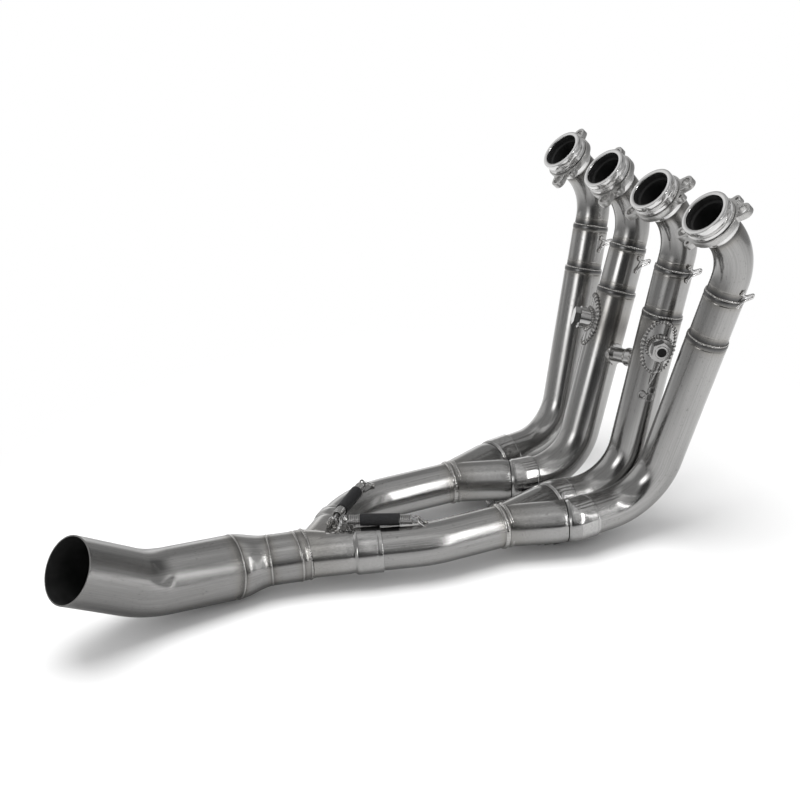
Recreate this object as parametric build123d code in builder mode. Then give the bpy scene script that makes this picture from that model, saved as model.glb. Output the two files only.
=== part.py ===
from build123d import *
from math import cos, radians, sin, tan
import os

# Four-into-two-into-one exhaust header for an inline four motorcycle.
#
# Frame: millimetres. X points to the front of the machine, Y runs along the row of exhaust ports
# and Z is up, with the floor that the header stands on at Z = 0. The origin is in the middle of the
# header's footprint. The header is drawn from a point below the middle of the row of ports, and each
# piece is moved to its place from the origin when it is saved. The ports are numbered 4, 3, 2, 1
# from the lowest Y to the highest.
#
# Each head pipe starts in a turned port ring, curves down, steps up twice in diameter where the next
# tube slips over the last, curves again and ends in a slip cup. Cups merge in pairs, the two
# secondary pipes meet in a Y, and a flared outlet pipe turns up at the rear.

# Driving dimensions
port_row = Vector(270.2, 0.9, 0)   # from the origin to the point below the middle of the ports
pitch = 86.0            # spacing of the exhaust ports
port_height = 347.5     # middle of the port faces above the floor
port_tilt = 45.5        # a port face looks to the rear and this many degrees up
lay_height = 33.5       # centre lines of the lower run above the floor
wall = 1.3              # sheet of every tube, and so half of each step in diameter
head_od = 35.0          # first tube, at the port
push_fit = 0.02         # between a tube and the one pushed into it, per side
step_od = head_od + 2 * wall + 2 * push_fit
lower_od = step_od + 2 * wall + 2 * push_fit
second_od = 42.4        # secondary pipes
throat_od = 49.0        # after the last merge
outlet_od = 62.4
slip_gap = 0.16         # between a pipe and the cup it slips into, per side
swivel_gap = 0.4        # between a loose flange and the neck it turns on, per side
insert = 6.0            # length of tube inside the next one at a step

# Port ring and loose flange
ring_od = 46.0
shoulder_od = 46.8
ring_bore = 36.8
neck_od = 39.0
ring_length = 12.0      # face to the back of the shoulder
neck_end = 26.0
pipe_seat = 9.5         # depth at which the head pipe butts in the ring
flange_thick = 7.5
flange_od = 54.0
stud_circle = 60.0
stud_hole = 8.6
ear_r = 7.3
lobe_turn = {4: -34.0, 3: 32.0, 2: -34.0, 1: -34.0}   # small lobe, round from the ear beside it

# Head pipes: straight lead out of the port, corner of the lower bend, and end of the run.
# The corners are where the centre lines would meet with no bend.
routes = {
    4: dict(lead=61.0, corner=(-9.0, -79.5, 36.5), end=(-96.0, -84.0, 34.6)),
    3: dict(lead=59.0, corner=(-18.0, -40.0, 30.5), end=(-96.0, -39.2, 32.3)),
    2: dict(lead=63.0, corner=(-45.0, 14.0, 33.5), end=(-108.0, 16.6, 33.5)),
    1: dict(lead=65.5, corner=(-26.0, 83.5, 33.5), end=(-108.0, 67.1, 33.5)),
}
upper_bend_r = 57.5
lower_bend_r = 60.0
step_from = 42.0        # along the leg from the upper corner to the start of the stepped tube
step_to = 88.5
flange_turn = {4: 138.0, 3: 129.0, 2: 53.0, 1: 64.5}   # swivel of each flange as it lies

# Merges
cup_length = 19.0
cup_od = lower_od + 2 * slip_gap + 2 * wall
mouth_x = {4: -77.0, 3: -77.0, 2: -89.0, 1: -89.0}   # open ends of the slip cups
near_end = Vector(-164.0, -61.5, lay_height)
far_end = Vector(-174.0, 40.0, lay_height)
near_corner = Vector(-240.0, -61.5, lay_height)
far_corner = Vector(-283.6, 38.7, lay_height)
merge_x = -356.0
near_meet = Vector(merge_x, -31.0, lay_height)
far_meet = Vector(-350.0, -30.4, lay_height)
near_bend_r = 120.0
far_bend_r = 88.7

# Outlet
throat_start = Vector(merge_x, -26.0, lay_height - 0.5)
throat_ring_length = 9.5
throat_end = Vector(-391.0, -20.5, 32.5)
flare_end = Vector(-425.5, -15.5, 31.5)
outlet_corner = Vector(-510.4, -26.8, 42.9)
outlet_end = Vector(-576.7, -53.9, 94.1)
outlet_bend_r = 77.0

# Springs that hold the slip joints, in rubber sleeves, and the wire lugs they hook on
coil_od = 10.0
coil_wire = 1.8
rubber_od = 12.0
rubber_length = 38.0
lug_wire = 2.6
wire_sides = 8           # wire is eight-sided here, to keep the facets few
ring_r = 4.0            # rings at the ends of a coil
bar_reach = 5.2         # from the end of a coil to the bar of its lug
lug_half = 3.6          # half the width of a lug, wire centre to middle
spring_height = 6.0     # of the springs under the cups, which the header stands on
spring_lean = {4: (20.0, 13.2)}   # this one lies to the side of its cup: at its back and its front
spring_reach = cup_od / 2 + rubber_od / 2 + 0.5
spring_front, spring_back = 17.0, 42.5   # coil ends ahead of and behind a cup's mouth
top_springs = {
    "near": (Vector(-312, -27, 60.5), Vector(-255, -53, 60.5)),
    "far": (Vector(-319.5, -16.5, 61), Vector(-277.5, 28.5, 61)),
}
merge_foot_back = {"near": 14.0, "far": 12.0}
merge_foot_ahead = 11.0

# Hairpin hooks on the low side of each head pipe, by its first step: place along the leg
hook_along = {4: 39.0, 3: 43.0, 2: 58.0, 1: 60.0}
hook_side = Vector(0.2, -0.98, 0)
hook_out = Vector(15, 0, 1.5)
hook_spread = 6.5

# Sensor bungs and the balance pipe between the two middle head pipes
bung_od, bung_bore, bung_height = 22.0, 15.0, 9.0
plug_flats, plug_height = 17.0, 8.0
saddle_sheet = 1.5
bungs = {2: (185.0, Vector(-0.93, 0.37, 0)), 3: (190.0, Vector(-0.42, -0.91, 0))}
balance_od = 15.0
balance_height = {2: 156.0, 3: 168.0}
collar_sheet = {2: 3.0, 3: 1.5}
collar_reach = {2: 3.0, 3: 9.0}

os.makedirs("parts", exist_ok=True)
fore = Vector(1, 0, 0)
port_out = Vector(-cos(radians(port_tilt)), 0, sin(radians(port_tilt)))
along_row = Vector(0, 1, 0)
up = Vector(0, 0, 1)


def save(part, name):
    placed = part.moved(Location(port_row))
    placed.label = name
    export_step(placed, f"parts/{name}.step")


def port(k):
    return Vector(0, pitch * (2.5 - k), port_height)


def leg(k):
    """Upper corner of a head pipe and the direction of its long straight leg."""
    top = port(k) - port_out * routes[k]["lead"]
    return top, (Vector(*routes[k]["corner"]) - top).normalized()


def last_run(k):
    """Direction of a head pipe where it enters its slip cup."""
    return (Vector(*routes[k]["end"]) - Vector(*routes[k]["corner"])).normalized()


def square_to(origin, direction):
    """Plane across a pipe: its normal runs along the pipe."""
    side = up if abs(direction.Z) < 0.9 else Vector(1, 0, 0)
    return Plane(origin=origin, x_dir=side.cross(direction), z_dir=direction)


def tube(points, radius, od, thick=wall):
    """A bent tube along straight runs joined by arcs."""
    with BuildPart() as bent:
        with BuildLine() as route:
            if len(points) == 2:
                Line(*points)
            else:
                FilletPolyline(*points, radius=radius)
        with BuildSketch(square_to(points[0], (points[1] - points[0]).normalized())):
            Circle(od / 2)
            Circle(od / 2 - thick, mode=Mode.SUBTRACT)
        sweep(path=route.wires()[0])
    return bent.part


# Turned port rings: face, groove, shoulder and the neck that the flange turns on
for k in routes:
    face = port(k)
    with BuildPart() as port_ring:
        with BuildSketch(Plane(origin=face, x_dir=along_row, z_dir=along_row.cross(-port_out))):
            with BuildLine():
                Polyline(
                    (ring_bore / 2, 0), (ring_od / 2 - 0.8, 0), (ring_od / 2, 0.8),
                    (ring_od / 2, 5.4), (ring_od / 2 - 1.9, 6.6), (ring_od / 2 - 1.9, 7.3),
                    (shoulder_od / 2, 8.6), (shoulder_od / 2, ring_length),
                    (neck_od / 2, ring_length), (neck_od / 2, neck_end),
                    (head_od / 2 + push_fit, neck_end), (head_od / 2 + push_fit, pipe_seat),
                    (head_od / 2 - wall, pipe_seat), (head_od / 2 - wall, 8.2),
                    (ring_bore / 2, 7.4), close=True,
                )
            make_face()
        revolve(axis=Axis(face, -port_out))
    save(port_ring.part, f"port_ring_{k}")

# Loose flanges: two ears with a stud hole, and a small drilled lobe beside each ear
for k in routes:
    seat = Plane(
        origin=port(k) - port_out * (ring_length + 0.4),
        x_dir=along_row * cos(radians(flange_turn[k]))
        + along_row.cross(-port_out) * -sin(radians(flange_turn[k])),
        z_dir=-port_out,
    )
    with BuildPart() as flange:
        with BuildSketch(seat):
            Circle(flange_od / 2)
            with PolarLocations(stud_circle / 2, 2):
                Circle(ear_r)
            with PolarLocations(26.5, 2, start_angle=lobe_turn[k]):
                Circle(5.0)
            fillet(vertices(), radius=1.8)
            Circle(neck_od / 2 + swivel_gap, mode=Mode.SUBTRACT)
            with PolarLocations(stud_circle / 2, 2):
                Circle(stud_hole / 2, mode=Mode.SUBTRACT)
            with PolarLocations(28.0, 2, start_angle=lobe_turn[k]):
                Circle(1.5, mode=Mode.SUBTRACT)
        extrude(amount=flange_thick)
        chamfer(flange.edges().group_by(Axis(seat.origin, seat.z_dir))[0], length=0.5)
    save(flange.part, f"port_flange_{k}")


def centre_at(points, radius, x):
    """Point on a bent centre line at a place along X, and the direction of the line there."""
    line = FilletPolyline(*points, radius=radius)
    low, high = 0.0, 1.0
    for _ in range(24):
        part = (low + high) / 2
        low, high = (part, high) if (line @ part).X > x else (low, part)
    return line @ low, line % low


def skin_point(centre, direction, radius, target, deep=0.9):
    """Point just inside the skin of a round tube, on the side that faces a target."""
    away = target - centre
    away = (away - direction * away.dot(direction)).normalized()
    return centre + away * (radius - deep)


def lower_route(k):
    top, down = leg(k)
    return [top + down * step_to, Vector(*routes[k]["corner"]), Vector(*routes[k]["end"])]


def cup_mouth(k):
    corner, run = Vector(*routes[k]["corner"]), last_run(k)
    return corner + run * ((mouth_x[k] - corner.X) / run.X)


def under(k, x, which):
    """Point on the line of the spring under a slip cup, at a place along X: its back or front end."""
    run, end = last_run(k), Vector(*routes[k]["end"])
    along = end + run * ((x - end.X) / run.X)
    lean = max(0.0, spring_reach ** 2 - (along.Z - spring_height) ** 2) ** 0.5
    if k in spring_lean:
        lean = spring_lean[k][which]
    return Vector(x, along.Y + lean, spring_height)


# Every spring: its coil's ends, and for each end the middle of the tube that its lug stands on,
# the direction of that tube and its radius
springs = {}
for k in routes:
    coil_ends = under(k, mouth_x[k] - spring_back, 0), under(k, mouth_x[k] + spring_front, 1)
    root = cup_mouth(k) + last_run(k) * cup_length
    outlet = near_end if k > 2 else far_end
    cone = (outlet - root).normalized()
    foot_x = coil_ends[0].X - bar_reach - 5
    part = (foot_x - root.X) / (outlet.X - root.X)
    radius = (cup_od * (1 - part) + second_od * part) / 2
    fore_foot = centre_at(lower_route(k), lower_bend_r, coil_ends[1].X + bar_reach + 5)
    springs[f"cup_{k}"] = dict(
        ends=coil_ends,
        feet=((root + (outlet - root) * part, cone, radius), (*fore_foot, lower_od / 2)),
    )
near_run, far_run = near_meet - near_corner, far_meet - far_corner
for side, run, corner, start, bend in (
    ("near", near_run, near_corner, near_end, near_bend_r),
    ("far", far_run, far_corner, far_end, far_bend_r),
):
    coil_ends = top_springs[side]
    foot_x = coil_ends[0].X - merge_foot_back[side]
    on_merge = corner + run * ((foot_x - corner.X) / run.X)
    on_pipe = centre_at([start, corner, corner + run], bend, coil_ends[1].X + merge_foot_ahead)
    springs[side] = dict(
        ends=coil_ends,
        feet=((on_merge, run.normalized(), second_od / 2), (*on_pipe, second_od / 2)),
    )


def lug_frame(name, end):
    """Foot and bar of a spring's lug at one end, and the direction along its bar."""
    behind, ahead = springs[name]["ends"]
    axis = (ahead - behind).normalized() * (1 if end else -1)
    bar = springs[name]["ends"][end] + axis * bar_reach
    foot = skin_point(*springs[name]["feet"][end], bar)
    return foot, bar, axis.cross(bar - foot).normalized()


def lug(name, end):
    """A welded hairpin of wire: two feet on the tube, and a bar through the ring of a spring."""
    foot, bar, across = lug_frame(name, end)
    reach = (bar - foot).normalized()
    with BuildPart() as wire:
        with BuildLine() as route:
            FilletPolyline(
                foot + across * lug_half, bar + across * lug_half,
                bar - across * lug_half, foot - across * lug_half, radius=lug_half - 0.3,
            )
        with BuildSketch(Plane(origin=foot + across * lug_half, x_dir=across, z_dir=reach)):
            RegularPolygon(lug_wire / 2, wire_sides)
        sweep(path=route.wires()[0])
    return wire.part


def welded(body, *wires):
    """A tube with its wire lugs, joined by welding into one piece."""
    with BuildPart() as joined:
        add(body)
        for wire in wires:
            add(wire)
    return joined.part


def on_leg(k, height):
    """Point on a head pipe's long leg at a height above the floor."""
    top, down = leg(k)
    return top + down * ((height - top.Z) / down.Z)


def seat_on(k, height, toward):
    """Point on a head pipe's centre line, and the direction of a boss there, square to the pipe."""
    down = leg(k)[1]
    return on_leg(k, height), (toward - down * toward.dot(down)).normalized()


# Holes through the wall of each head pipe: under the sensor bungs and at the balance pipe's ends
balance_ends = on_leg(2, balance_height[2]), on_leg(3, balance_height[3])
balance_axis = (balance_ends[1] - balance_ends[0]).normalized()
openings = {4: [], 3: [], 2: [], 1: []}
for k, (height, toward) in bungs.items():
    openings[k].append((*seat_on(k, height, toward), bung_bore))
openings[2].append((balance_ends[0], balance_axis, balance_od - 2 * wall))
openings[3].append((balance_ends[1], -balance_axis, balance_od - 2 * wall))

# Head pipes in three tubes that slip into each other
for k in routes:
    top, down = leg(k)
    upper = tube(
        [port(k) - port_out * pipe_seat, top, top + down * (step_from + insert)],
        upper_bend_r, head_od,
    )
    save(upper, f"upper_pipe_{k}")
    step = tube([top + down * step_from, top + down * (step_to + insert)], 0, step_od)
    save(step, f"step_pipe_{k}")
    plain = tube(lower_route(k), lower_bend_r, lower_od)
    with BuildPart() as lower:
        add(plain)
        add(lug(f"cup_{k}", 1))
        for origin, facing, bore in openings[k]:
            with BuildSketch(Plane(origin=origin, x_dir=down, z_dir=facing)):
                Circle(bore / 2)
            extrude(amount=lower_od, mode=Mode.SUBTRACT)
    save(lower.part, f"lower_pipe_{k}")

    # Hairpin hook: its feet spread along the pipe, and are cut to sit on it and on the step
    side = (hook_side - down * hook_side.dot(down)).normalized()
    middle = top + down * hook_along[k] + side * (head_od / 2 + 0.4)
    tip = middle + hook_out
    with BuildPart() as hook:
        with BuildLine() as bend:
            FilletPolyline(middle - down * hook_spread, tip, middle + down * hook_spread, radius=1.8)
        path = bend.wires()[0]
        with BuildSketch(Plane(origin=path @ 0, z_dir=path % 0)):
            RegularPolygon(lug_wire / 2, wire_sides)
        sweep(path=path)
        for start, od in ((0, head_od), (step_from, step_od), (step_to, lower_od)):
            with BuildSketch(square_to(top + down * start, down)):
                Circle(od / 2)
            extrude(amount=60, mode=Mode.SUBTRACT)
    save(hook.part, f"wire_hook_{k}")


def branch_form(k, outlet, less):
    """A round cup that runs into a round outlet, as a solid form."""
    run, mouth = last_run(k), cup_mouth(k)
    with BuildPart() as form:
        with BuildSketch(square_to(mouth, run)):
            Circle(cup_od / 2 - less)
        extrude(amount=cup_length)
        with BuildSketch(square_to(mouth + run * cup_length, run)):
            Circle(cup_od / 2 - less)
        with BuildSketch(square_to(outlet, Vector(-1, 0, 0))):
            Circle(second_od / 2 - less)
        loft()
    return form.part


def collector(pair, outlet):
    """A merge of two slip cups, hollow all the way, with the lugs of its springs."""
    with BuildPart() as merge:
        for k in pair:
            add(branch_form(k, outlet, 0))
            add(lug(f"cup_{k}", 0))
        for k in pair:
            add(branch_form(k, outlet, wall), mode=Mode.SUBTRACT)
    return merge.part


save(collector((3, 4), near_end), "near_collector")
save(collector((2, 1), far_end), "far_collector")

# The last merge: a slip cup on each branch, both branches, and a cone into the throat
branches = {
    "near": dict(corner=near_corner, run=near_run, meet=near_meet, cup=(0.40, 0.62), start=near_end,
                 bend=near_bend_r),
    "far": dict(corner=far_corner, run=far_run, meet=far_meet, cup=(0.40, 0.53), start=far_end,
                bend=far_bend_r),
}
merge_cup_od = second_od + 2 * slip_gap + 2 * wall

with BuildPart() as last_merge:
    for inner in (False, True):
        less = wall if inner else 0
        how = Mode.SUBTRACT if inner else Mode.ADD
        for name, b in branches.items():
            if not inner:
                add(lug(name, 0))
            way = b["run"].normalized()
            front, rear = (b["corner"] + b["run"] * part for part in b["cup"])
            with BuildSketch(square_to(front, way)):
                Circle(merge_cup_od / 2 - less)
            extrude(amount=(rear - front).length + wall - less, mode=how)
            with BuildSketch(square_to(rear, way)):
                Circle(second_od / 2 - less)
            extrude(amount=(b["meet"] - rear).length, mode=how)
        with BuildSketch(square_to(throat_start + Vector(20, -6, 0.5), Vector(-1, 0, 0))):
            Circle(second_od / 2 - less)
        with BuildSketch(square_to(throat_start, Vector(-1, 0, 0))):
            Circle(throat_od / 2 - less)
        loft(mode=how)
    split(bisect_by=Plane(origin=throat_start, z_dir=Vector(1, 0, 0)), keep=Keep.TOP)
save(last_merge.part, "last_merge")

# Secondary pipes, each as far as the bottom of its cup in the last merge
for name, b in branches.items():
    pipe = tube([b["start"], b["corner"], b["corner"] + b["run"] * b["cup"][1]], b["bend"], second_od)
    save(welded(pipe, lug(name, 1)), f"{name}_secondary")

# Throat, flare and outlet
throat_axis = (throat_end - throat_start).normalized()
outlet_axis = (outlet_corner - flare_end).normalized()
with BuildPart() as throat_ring:
    with BuildSketch(Plane.YZ.offset(throat_start.X)):
        with Locations((throat_start.Y, throat_start.Z)):
            Circle(throat_od / 2)
            Circle(throat_od / 2 - wall, mode=Mode.SUBTRACT)
    extrude(amount=-throat_ring_length)
save(throat_ring.part, "throat_ring")

ring_end = throat_start - fore * throat_ring_length
with BuildPart() as throat_pipe:
    for inner in (False, True):
        less = wall if inner else 0
        with BuildSketch(square_to(ring_end, -fore)):
            Circle(throat_od / 2 - less)
        with BuildSketch(square_to(throat_end, throat_axis)):
            Circle(throat_od / 2 - less)
        loft(mode=Mode.SUBTRACT if inner else Mode.ADD)
save(throat_pipe.part, "throat_pipe")

with BuildPart() as flare:
    for inner in (False, True):
        less = wall if inner else 0
        with BuildSketch(square_to(throat_end, throat_axis)):
            Circle(throat_od / 2 - less)
        with BuildSketch(square_to(flare_end, outlet_axis)):
            Circle(outlet_od / 2 - less)
        loft(mode=Mode.SUBTRACT if inner else Mode.ADD)
save(flare.part, "flare")

outlet_pipe = tube([flare_end, outlet_corner, outlet_end], outlet_bend_r, outlet_od)
save(outlet_pipe, "outlet_pipe")

# Springs: a close wound coil with a ring at each end, in a rubber sleeve at its middle
for name, s in springs.items():
    behind, ahead = s["ends"]
    axis = (ahead - behind).normalized()
    length = (ahead - behind).length
    with BuildPart() as coil:
        with BuildSketch(square_to(behind, axis)):
            Circle(coil_od / 2)
            Circle(coil_od / 2 - coil_wire, mode=Mode.SUBTRACT)
        extrude(amount=length)
        for end, out in ((0, -axis), (1, axis)):
            across = lug_frame(name, end)[2]
            centre = s["ends"][end] + out * (ring_r - 0.4)
            with BuildSketch(Plane(origin=centre + out * ring_r, x_dir=out, z_dir=across.cross(out))):
                RegularPolygon(coil_wire / 2, wire_sides)
            revolve(axis=Axis(centre, across))
    save(coil.part, f"{name}_spring")
    with BuildPart() as rubber:
        with BuildSketch(square_to(behind + axis * (length - rubber_length) / 2, axis)):
            Circle(rubber_od / 2)
            Circle(coil_od / 2, mode=Mode.SUBTRACT)
        extrude(amount=rubber_length)
    save(rubber.part, f"{name}_spring_sleeve")


# Sensor bungs: saddle plate, threaded boss and hexagon plug
for k, (height, toward) in bungs.items():
    middle, facing = seat_on(k, height, toward)
    down = leg(k)[1]
    seat = Plane(origin=middle, x_dir=down, z_dir=facing)
    skin = lower_od / 2
    with BuildPart() as saddle:
        with BuildSketch(seat):
            Ellipse(26, 15.5)
            Circle(bung_od / 2, mode=Mode.SUBTRACT)
        extrude(amount=skin + 8)
        with BuildSketch(square_to(middle - down * 40, down)):
            Circle(skin + saddle_sheet)
        extrude(amount=80, mode=Mode.INTERSECT)
        with BuildSketch(square_to(middle - down * 40, down)):
            Circle(skin)
        extrude(amount=80, mode=Mode.SUBTRACT)
    save(saddle.part, f"bung_saddle_{k}")
    with BuildPart() as bung:
        with BuildSketch(seat):
            Circle(bung_od / 2)
        extrude(amount=skin + bung_height)
        with BuildSketch(square_to(middle - down * 40, down)):
            Circle(skin)
        extrude(amount=80, mode=Mode.SUBTRACT)
        with BuildSketch(seat):
            Circle(bung_bore / 2)
        extrude(amount=skin + bung_height, mode=Mode.SUBTRACT)
    save(bung.part, f"bung_{k}")
    with BuildPart() as plug:
        with BuildSketch(seat.offset(skin + bung_height)):
            Circle(bung_od / 2 + 0.5)
        extrude(amount=2)
        with BuildSketch(seat.offset(skin + bung_height + 2)):
            RegularPolygon(plug_flats / 2, 6, major_radius=False)
        extrude(amount=plug_height - 2)
        with BuildSketch(seat.offset(skin + bung_height)):
            Circle(bung_bore / 2)
        extrude(amount=-bung_height)
    save(plug.part, f"bung_plug_{k}")

# Balance pipe: a plain tube between the skins of the two middle head pipes, with a collar at each end
balance_length = (balance_ends[1] - balance_ends[0]).length
with BuildPart() as middle_pipes:
    for k, middle in ((2, balance_ends[0]), (3, balance_ends[1])):
        down = leg(k)[1]
        with BuildSketch(square_to(middle - down * 40, down)):
            Circle(lower_od / 2)
        extrude(amount=80)

with BuildPart() as balance_pipe:
    with BuildSketch(square_to(balance_ends[0], balance_axis)):
        Circle(balance_od / 2)
        Circle(balance_od / 2 - wall, mode=Mode.SUBTRACT)
    extrude(amount=balance_length)
    add(middle_pipes.part, mode=Mode.SUBTRACT)
save(balance_pipe.part, "balance_pipe")

for k, middle, out in ((2, balance_ends[0], balance_axis), (3, balance_ends[1], -balance_axis)):
    with BuildPart() as collar:
        with BuildSketch(square_to(middle, out)):
            Circle(balance_od / 2 + collar_sheet[k])
            Circle(balance_od / 2, mode=Mode.SUBTRACT)
        extrude(amount=lower_od / 2 + collar_reach[k])
        add(middle_pipes.part, mode=Mode.SUBTRACT)
    save(collar.part, f"balance_collar_{k}")
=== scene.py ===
# %% [markdown]
# # An exhaust header for an inline four motorcycle
# Four polished steel pipes leave four turned port rings, drop, sweep back, merge in pairs, and the
# two secondary pipes meet in a Y that ends in a flared outlet.
# The solid model is loaded first, as a fixed frame. Everything drawn here keeps its dimensions.

# %% Load the frame
from math import cos, pi, radians, sin

import bpy
import numpy as np
from mathutils import Matrix, Vector


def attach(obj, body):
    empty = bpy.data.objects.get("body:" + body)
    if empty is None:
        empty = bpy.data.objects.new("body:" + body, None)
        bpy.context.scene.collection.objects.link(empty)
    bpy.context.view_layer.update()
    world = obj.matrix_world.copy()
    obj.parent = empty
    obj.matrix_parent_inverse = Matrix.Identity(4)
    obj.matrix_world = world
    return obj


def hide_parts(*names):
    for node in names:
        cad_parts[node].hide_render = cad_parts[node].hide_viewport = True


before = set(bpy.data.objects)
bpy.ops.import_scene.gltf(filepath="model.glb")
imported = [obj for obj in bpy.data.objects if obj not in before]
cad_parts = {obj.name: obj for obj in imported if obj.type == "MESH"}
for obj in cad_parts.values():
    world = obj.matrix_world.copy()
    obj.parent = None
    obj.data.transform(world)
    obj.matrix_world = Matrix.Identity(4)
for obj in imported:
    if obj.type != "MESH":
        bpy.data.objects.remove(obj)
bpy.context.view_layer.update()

# %% [markdown]
# ## The camera
# The photograph looks down on the header from its rear left corner. The camera could be placed by
# eye, but its three axes were worked out from the port circles and the pipes instead, so that a
# piece that is right in space also falls on the right pixel.
# The header is drawn from a point on the floor below the middle of the row of ports, and moved
# from there to its place when a mesh is made.

# %% Camera
port_row = Vector((0.2702, 0.0009, 0.0))
right = Vector((0.9276, -0.3715, -0.0395))
down = Vector((-0.1943, -0.3895, -0.9003))
ahead = Vector((0.3191, 0.8428, -0.4335))
camera_data = bpy.data.cameras.new("studio_camera")
camera_data.lens, camera_data.sensor_width = 53.87, 36
camera = bpy.data.objects.new("studio_camera", camera_data)
place = Matrix((right, -down, -ahead)).transposed().to_4x4()
place.translation = port_row + Vector((-0.6111, -0.9743, 0.6632))
camera.matrix_world = place
bpy.context.scene.collection.objects.link(camera)
bpy.context.scene.camera = camera
bpy.context.scene.view_settings.view_transform = "Standard"
print("camera at", tuple(round(c, 3) for c in place.translation), "lens", camera_data.lens)

# %% [markdown]
# ## Dimensions
# These are the header's own measures in metres, the same as in the solid model: where the ports
# are, how each head pipe runs, and the size of each tube. A head pipe is three tubes that slip into
# each other, so its diameter steps up twice.

# %% Dimensions of the header
MM = 0.001


def mm(*values):
    """Millimetres as an array in metres."""
    return np.array(values, float) * MM


pitch, port_height, tilt = 86 * MM, 347.5 * MM, radians(45.5)
wall, insert = 1.3 * MM, 6 * MM
head_r, step_r, lower_r = 17.5 * MM, 18.8 * MM, 20.1 * MM
second_r, throat_r, outlet_r = 21.2 * MM, 24.5 * MM, 31.2 * MM
cup_r, cup_length, merge_cup_r = 21.6 * MM, 19 * MM, 22.7 * MM
out, port_up = np.array([-cos(tilt), 0, sin(tilt)]), np.array([sin(tilt), 0, cos(tilt)])
row_way, z_way, back_way = np.array([0.0, 1, 0]), np.array([0.0, 0, 1]), np.array([-1.0, 0, 0])
# each head pipe: port face to upper corner, lower corner, end in its cup
routes = {
    4: (61.0 * MM, mm(-9.0, -79.5, 36.5), mm(-96.0, -84.0, 34.6)),
    3: (59.0 * MM, mm(-18.0, -40.0, 30.5), mm(-96.0, -39.2, 32.3)),
    2: (63.0 * MM, mm(-45.0, 14.0, 33.5), mm(-108.0, 16.6, 33.5)),
    1: (65.5 * MM, mm(-26.0, 83.5, 33.5), mm(-108.0, 67.1, 33.5)),
}
upper_bend, lower_bend, near_bend, far_bend, outlet_bend = mm(57.5, 60, 120, 88.7, 77)
step_from, step_to = 42 * MM, 88.5 * MM
mouth_x = {4: -77 * MM, 3: -77 * MM, 2: -89 * MM, 1: -89 * MM}
near_end, far_end = mm(-164, -61.5, 33.5), mm(-174, 40, 33.5)
near_corner, far_corner = mm(-240, -61.5, 33.5), mm(-283.6, 38.7, 33.5)
near_meet, far_meet = mm(-356, -31, 33.5), mm(-350, -30.4, 33.5)
throat_start, throat_end = mm(-356, -26, 33.0), mm(-391, -20.5, 32.5)
flare_end = mm(-425.5, -15.5, 31.5)
outlet_corner, outlet_end = mm(-510.4, -26.8, 42.9), mm(-576.7, -53.9, 94.1)


def unit(v):
    """A vector, or rows of vectors, divided by its own length."""
    v = np.asarray(v, float)
    return v / np.linalg.norm(v, axis=-1, keepdims=True)


def port(k):
    """Middle of a port face: the four stand a pitch apart along Y."""
    return np.array([0, pitch * (2.5 - k), port_height])


def leg(k):
    """Upper corner of a head pipe, and the direction of its long straight leg."""
    top = port(k) - out * routes[k][0]
    return top, unit(routes[k][1] - top)


def run_of(k):
    """Corner and direction of a head pipe where it enters its slip cup."""
    return routes[k][1], unit(routes[k][2] - routes[k][1])


def mouth(k):
    """Open end of a slip cup, on its pipe's line."""
    corner, way = run_of(k)
    return corner + way * ((mouth_x[k] - corner[0]) / way[0])


print("leg directions:", {k: leg(k)[1].round(3).tolist() for k in routes})

# %% [markdown]
# ## Surfaces carried along a path
# Nearly every piece of a header is a round profile carried along a line: a tube, a bead, a hook, a
# spring. A curve with a bevel would make such a tube too. Here the surface is worked out as a grid,
# because a tube then gets its real wall, its rolled rims and its own steps and grooves, and because
# the places along and around it can be stored for the materials.

# %% The centre line of a bent tube
def bent_line(corners, radius=0.0):
    """Length of a line of straight runs joined by arcs, and a function that gives its points.

    On a run the point is start + s * direction. On an arc it is start + R * (sin(s/R) * direction
    + (1 - cos(s/R)) * inward), where inward is square to the run, in the plane of the corner.
    """
    c = np.asarray(corners, float)
    ways = unit(np.diff(c, axis=0))
    turns = np.arccos(np.clip((ways[:-1] * ways[1:]).sum(1), -1, 1))
    cuts = radius * np.tan(turns / 2)
    runs = np.linalg.norm(np.diff(c, axis=0), axis=1)
    runs[:-1] -= cuts
    runs[1:] -= cuts

    def at(s):
        s = np.asarray(s, float)
        p, t = np.empty(s.shape + (3,)), np.empty(s.shape + (3,))
        begun, start = 0.0, c[0]
        for i, way in enumerate(ways):
            on = (s >= begun) if i else np.ones(s.shape, bool)
            p[on], t[on] = start + (s[on] - begun)[:, None] * way, way
            begun, start = begun + runs[i], start + runs[i] * way
            if i < len(turns):
                inward = unit(ways[i + 1] - (ways[i + 1] @ way) * way)
                on = s >= begun
                a = ((s[on] - begun) / radius)[:, None]
                p[on] = start + radius * (np.sin(a) * way + (1 - np.cos(a)) * inward)
                t[on] = np.cos(a) * way + np.sin(a) * inward
                a = turns[i]
                start = start + radius * (sin(a) * way + (1 - cos(a)) * inward)
                begun += radius * a
        return p, t

    return runs.sum() + radius * turns.sum(), at


def turn_points(around):
    """Angles that go once round in even steps."""
    return np.arange(around) * 2 * pi / around


def sides(t, ref):
    """Two directions square to t: N, which is ref less its share along t, and t crossed with N."""
    n = unit(ref - (t @ ref)[..., None] * t)
    return n, np.cross(t, n)


def rings(centres, radii, n, b, around):
    """Rows of circles of points: centre + radius * (cos a * N + sin a * B)."""
    a = turn_points(around)[:, None]
    round_way = np.cos(a) * np.atleast_2d(n)[:, None] + np.sin(a) * np.atleast_2d(b)[:, None]
    centres, radii = (v[:, None] if v.ndim == flat else v for v, flat in ((centres, 2), (radii, 1)))
    return centres + radii[..., None] * round_way


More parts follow.
